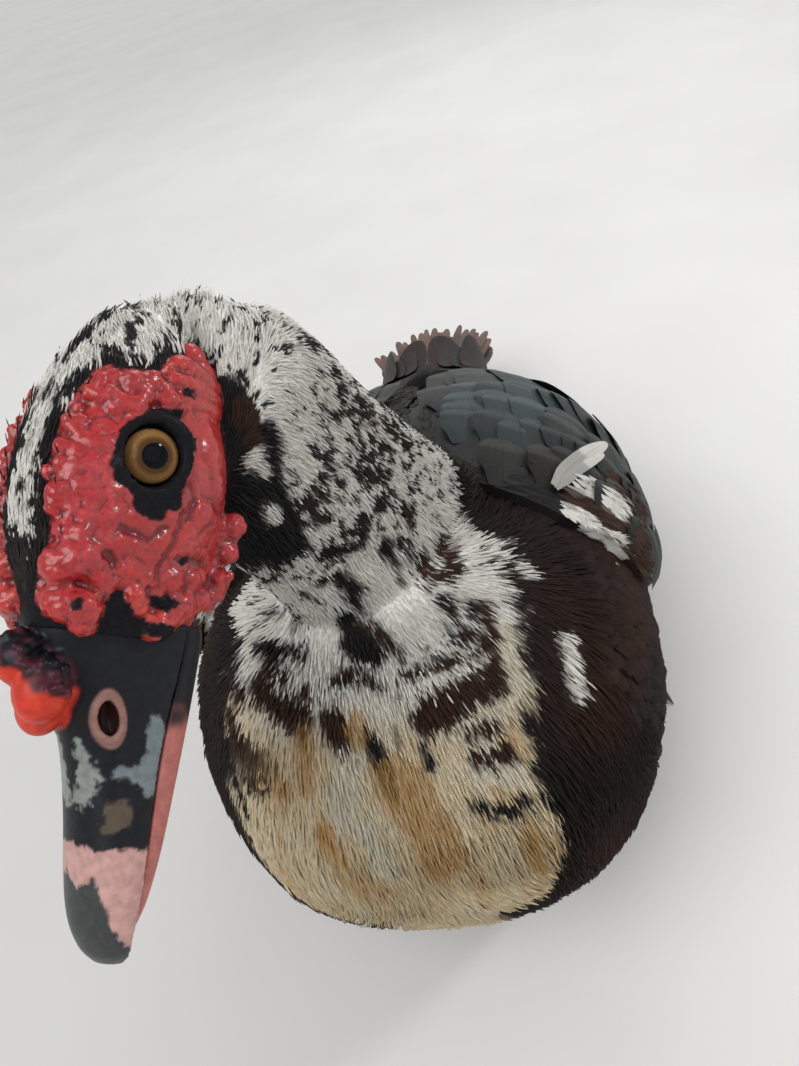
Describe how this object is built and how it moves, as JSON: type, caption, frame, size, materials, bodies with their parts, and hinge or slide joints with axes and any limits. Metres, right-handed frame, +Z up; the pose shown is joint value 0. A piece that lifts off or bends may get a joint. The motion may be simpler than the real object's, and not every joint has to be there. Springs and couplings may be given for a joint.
{
  "type": "muscovy duck still model",
  "caption": "Life-size still muscovy drake sitting on its belly, breast raised, head turned right and tipped down, bare red bulbs round the eyes, wings folded.",
  "frame": {"origin": "centre of the bounding box in plan, on the floor under the belly", "axes": "+Z up, the breast and beak towards -Y, the tail towards +Y, the bird's left side towards +X"},
  "size_m": [0.2194, 0.548, 0.3245],
  "materials": {
    "plumage": "soft small feathers, cream, white and near black",
    "head_skin": "moist bare red skin in bulbs and folds, with white and black crown feathers",
    "beak": "smooth horn, grey-blue with black and pink patches",
    "eye": "wet, clear and glossy",
    "wing_feathers": "glossy near black with a green and bronze sheen",
    "tail_feathers": "rusty dark brown, slightly glossy",
    "foot_skin": "scaled skin, dull yellow and grey",
    "claw": "smooth dark horn"
  },
  "bodies": {
    "root": {"torso": "plumage", "neck": "plumage", "thigh_left": "plumage", "thigh_right": "plumage", "head": "head_skin", "upper_beak": "beak", "lower_beak": "beak", "eye_left": "eye", "eye_right": "eye", "wing_left": "wing_feathers", "wing_right": "wing_feathers", "tail": "tail_feathers", "foot_left": "foot_skin", "foot_right": "foot_skin", "claw_left_inner": "claw", "claw_left_middle": "claw", "claw_left_outer": "claw", "claw_right_inner": "claw", "claw_right_middle": "claw", "claw_right_outer": "claw"}
  },
  "joints": []
}
